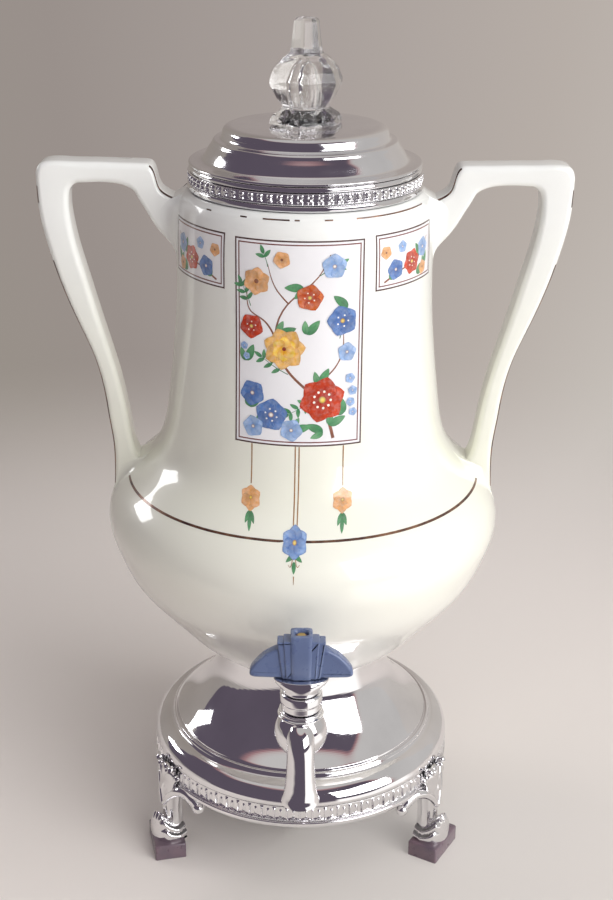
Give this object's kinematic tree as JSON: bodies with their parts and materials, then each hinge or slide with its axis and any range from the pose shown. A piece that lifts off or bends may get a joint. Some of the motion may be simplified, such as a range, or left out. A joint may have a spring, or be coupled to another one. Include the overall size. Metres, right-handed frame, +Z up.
{
  "type": "electric coffee urn",
  "caption": "Tall electric percolator urn: glazed china vessel with strap handles, lift-off lid with glass knob, front tap, and flared plated base on scroll feet. It brews and serves coffee.",
  "frame": {"origin": "on the table, under the middle of the whole urn's bounding box", "axes": "+Z up along the vessel's axis, +X from the left handle to the right one, -Y towards the tap and the user"},
  "size_m": [0.216, 0.2012, 0.3635],
  "materials": {
    "china": "gloss",
    "chrome": "polished",
    "nickel": "satin",
    "aluminium": "satin",
    "brass": "satin",
    "steel": "satin",
    "gasket_rubber": "matte",
    "element_ceramic": "matte",
    "blue_moulding": "gloss",
    "dark_moulding": "satin",
    "clear_glass": "polished",
    "lead_braid": "matte"
  },
  "bodies": {
    "urn": {"urn_body": "china", "handle_left": "china", "handle_right": "china", "top_collar": "chrome", "top_band": "chrome", "base_shell": "chrome", "base_band": "chrome", "foot_front_left": "chrome", "foot_front_right": "chrome", "foot_rear": "chrome", "tap_body": "chrome", "tap_bonnet": "chrome", "inlet_guard": "chrome", "heater_well": "nickel", "well_nut": "brass", "element_nut": "brass", "tap_nut": "brass", "inlet_pin_left": "brass", "inlet_pin_right": "brass", "bottom_plate": "steel", "element_plate": "steel", "plate_screw_1": "steel", "plate_screw_2": "steel", "plate_screw_3": "steel", "foot_screw_front_left": "steel", "foot_screw_front_right": "steel", "foot_screw_rear": "steel", "inlet_screw_lower": "steel", "inlet_screw_upper": "steel", "body_gasket": "gasket_rubber", "well_gasket": "gasket_rubber", "tap_gasket": "gasket_rubber", "feed_sleeve": "gasket_rubber", "heating_element": "element_ceramic", "foot_pad_front_left": "dark_moulding", "foot_pad_front_right": "dark_moulding", "foot_pad_rear": "dark_moulding", "inlet_block": "dark_moulding", "lead_left": "lead_braid", "lead_right": "lead_braid"},
    "pump": {"pump_stem": "aluminium", "pump_foot": "aluminium", "basket_stop": "aluminium"},
    "valve": {"valve_disc": "brass"},
    "basket": {"coffee_basket": "aluminium"},
    "spreader": {"spreader_plate": "aluminium"},
    "lid": {"lid_shell": "chrome", "lid_skirt": "aluminium"},
    "knob": {"glass_knob": "clear_glass"},
    "tap_plug": {"tap_key": "chrome", "tap_handle": "blue_moulding", "tap_handle_screw": "brass"}
  },
  "joints": [
    {"name": "pump_lift", "type": "slide", "parent": "urn", "child": "pump", "axis": [0, 0, 1], "range_m": [0, 0.24]},
    {"name": "valve_lift", "type": "slide", "parent": "pump", "child": "valve", "axis": [0, 0, 1], "range_m": [0, 0.002]},
    {"name": "basket_lift", "type": "slide", "parent": "pump", "child": "basket", "axis": [0, 0, 1], "range_m": [0, 0.07]},
    {"name": "spreader_lift", "type": "slide", "parent": "basket", "child": "spreader", "axis": [0, 0, 1], "range_m": [0, 0.03]},
    {"name": "lid_lift", "type": "slide", "parent": "spreader", "child": "lid", "axis": [0, 0, 1], "range_m": [0, 0.05]},
    {"name": "knob_twist", "type": "hinge", "parent": "lid", "child": "knob", "pos_m": [0, 0.01605, 0.32], "axis": [0, 0, 1], "range_deg": [0, 60]},
    {"name": "tap_turn", "type": "hinge", "parent": "urn", "child": "tap_plug", "pos_m": [0, -0.08195, 0.1034], "axis": [0, 0, 1], "range_deg": [0, 90]}
  ]
}
